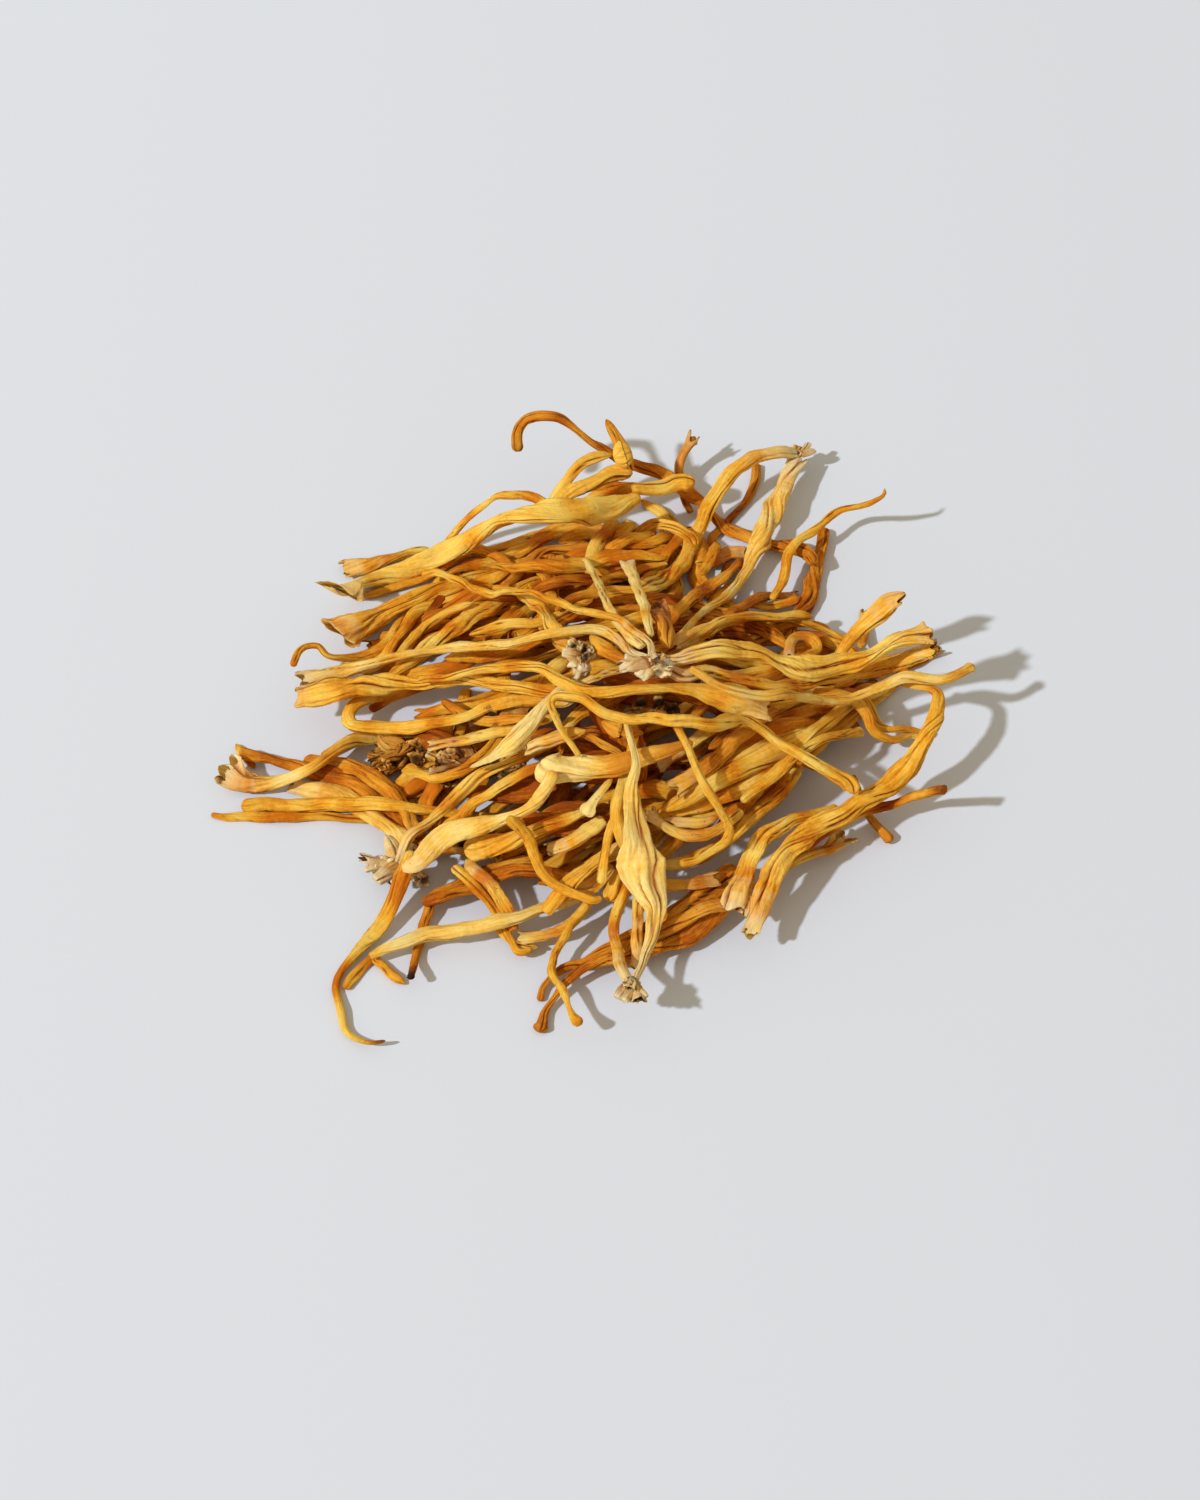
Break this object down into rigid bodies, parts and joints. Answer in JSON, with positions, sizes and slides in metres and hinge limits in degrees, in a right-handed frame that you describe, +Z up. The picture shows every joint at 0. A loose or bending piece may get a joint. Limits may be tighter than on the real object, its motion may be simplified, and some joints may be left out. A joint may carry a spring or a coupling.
{
  "type": "dried cordyceps",
  "caption": "Hand-sized tangle of dried golden-orange fungus stalks, wrinkled and hooked together in a low mound, with pale ragged feet.",
  "frame": {"origin": "centre of the tangle's footprint on the surface that it rests on", "axes": "+Z up; +Y away from the viewer, towards the back arch; +X to the right, along the thick right-hand stalk"},
  "size_m": [0.1412, 0.1446, 0.0314],
  "materials": {
    "golden": "dry, wrinkled, matt golden-orange skin",
    "deep_orange": "dry, ribbed, matt deep orange skin",
    "pale_straw": "dry, velvety, pale straw-yellow skin",
    "foot_grey": "ragged, chalky grey-cream base tissue"
  },
  "bodies": {
    "root": {"left_foot": "foot_grey", "left_low_orange": "deep_orange", "left_low_pale": "pale_straw", "left_runner": "golden", "front_left_curl": "golden", "fan_edge": "golden", "right_brace": "deep_orange", "right_front_small": "golden", "black_tip": "deep_orange", "front_hook": "golden", "front_pale_ribbon": "pale_straw", "front_orange_upper": "deep_orange", "front_orange_lower": "deep_orange", "back_right_post": "deep_orange", "back_hook": "deep_orange", "right_stub": "golden", "left_crook": "golden", "left_flared": "golden", "left_broad_arc": "golden", "left_u_turn": "golden", "left_foot_stalk": "golden", "front_flat_pod": "golden", "fan_broad": "golden", "fan_narrow": "golden", "right_front_stalk": "golden", "right_tail": "deep_orange", "back_arch": "golden", "back_club": "golden", "front_foot_stalk": "golden", "front_thin_twist": "golden", "back_right_tip": "golden", "back_pale_ribbon": "pale_straw", "right_arc": "golden", "right_loop": "golden", "back_curve": "golden", "left_thin_arc": "golden", "left_big_upper": "golden", "back_bend": "golden", "pale_club": "pale_straw", "left_broad": "golden", "left_foot_velvet": "pale_straw", "front_wave": "golden", "front_wide_pale": "pale_straw", "middle_elbow": "golden", "right_big_ribbon": "golden", "cross_stalk": "golden", "pale_blade": "pale_straw", "long_sweep": "pale_straw", "long_middle": "golden", "long_lower": "golden", "upright_cup": "pale_straw", "knobby_long": "golden", "right_twin": "golden", "right_thick": "golden", "right_thin": "pale_straw", "cup_foot": "foot_grey", "inner_foot": "foot_grey", "front_foot": "foot_grey", "back_foot": "foot_grey", "middle_foot": "foot_grey"}
  },
  "joints": []
}
